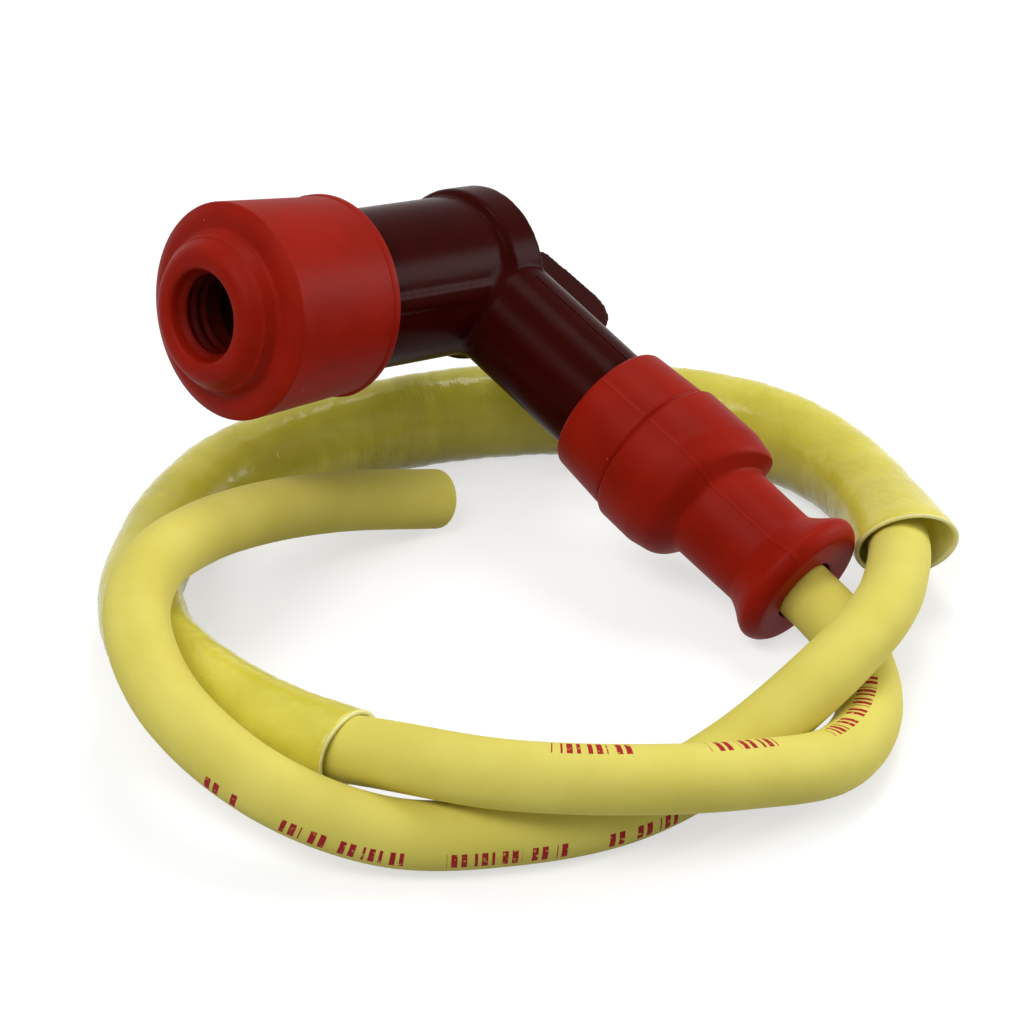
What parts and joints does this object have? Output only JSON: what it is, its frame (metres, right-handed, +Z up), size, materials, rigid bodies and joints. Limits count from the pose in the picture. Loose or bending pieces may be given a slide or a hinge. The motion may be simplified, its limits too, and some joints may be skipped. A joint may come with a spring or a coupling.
{
  "type": "spark plug cap with wire",
  "caption": "Elbow spark plug cap with rubber boots, a resistor inside, and a looped silicone ignition cable in a loose sleeve.",
  "frame": {"origin": "centre of the cap's bounding box, without the cable and its sleeve, on the surface that the part lies on", "axes": "+X is the level direction in which the cable leaves the elbow, -Y is the level direction of the plug side, +Z is up"},
  "size_m": [0.0956, 0.1047, 0.0469],
  "materials": {
    "cap_body": "glossy moulded resin",
    "plug_boot": "satin rubber",
    "cable_boot": "satin rubber",
    "cable_jacket": "matte silicone",
    "sleeve": "satin silicone",
    "conductor": "bare metal",
    "brass": "turned brass",
    "spring_steel": "bright wire",
    "resistor": "unglazed"
  },
  "bodies": {
    "root": {"cap_body": "cap_body", "plug_boot": "plug_boot", "cable_boot": "cable_boot", "ignition_cable": "cable_jacket", "cable_sleeve": "sleeve", "cable_conductor": "conductor", "plug_terminal": "brass", "rear_contact": "brass", "cable_stud": "brass", "resistor_front_cap": "brass", "resistor_rear_cap": "brass", "contact_spring": "spring_steel", "terminal_clip": "spring_steel", "resistor_rod": "resistor"}
  },
  "joints": []
}
